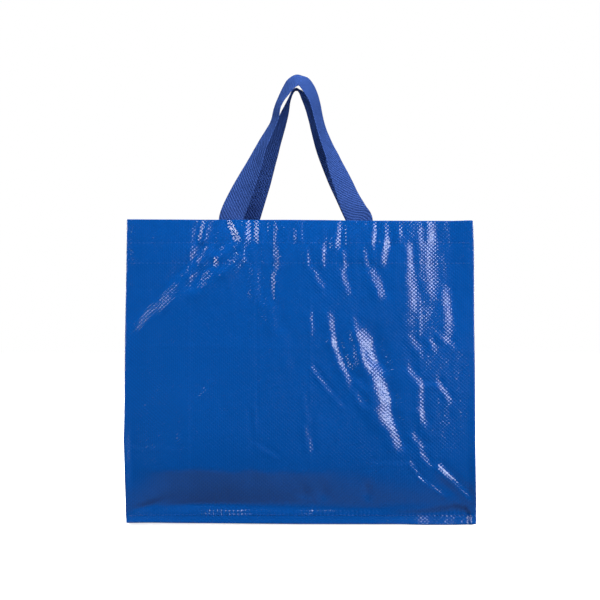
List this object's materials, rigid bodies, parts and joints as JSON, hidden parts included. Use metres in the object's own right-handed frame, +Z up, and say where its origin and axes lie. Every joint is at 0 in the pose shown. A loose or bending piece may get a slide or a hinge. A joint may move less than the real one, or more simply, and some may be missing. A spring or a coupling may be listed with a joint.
{
  "type": "carrier bag",
  "caption": "Open-topped carrier bag of laminated woven plastic sheet with pleated side gussets, a boxed base and webbing handles sewn inside the top hem.",
  "frame": {"origin": "centre of the bounding box in X and Y, on the floor plane under the base", "axes": "+X across the width to the right of someone looking at the front, front face towards -Y, +Z up through the mouth"},
  "size_m": [0.43, 0.15, 0.5595],
  "materials": {
    "laminate": "glossy film over woven tape, blue",
    "webbing": "twill-woven polypropylene webbing, darker blue"
  },
  "bodies": {
    "root": {"main_panel": "laminate", "left_gusset": "laminate", "right_gusset": "laminate", "front_handle": "webbing", "back_handle": "webbing"}
  },
  "joints": []
}
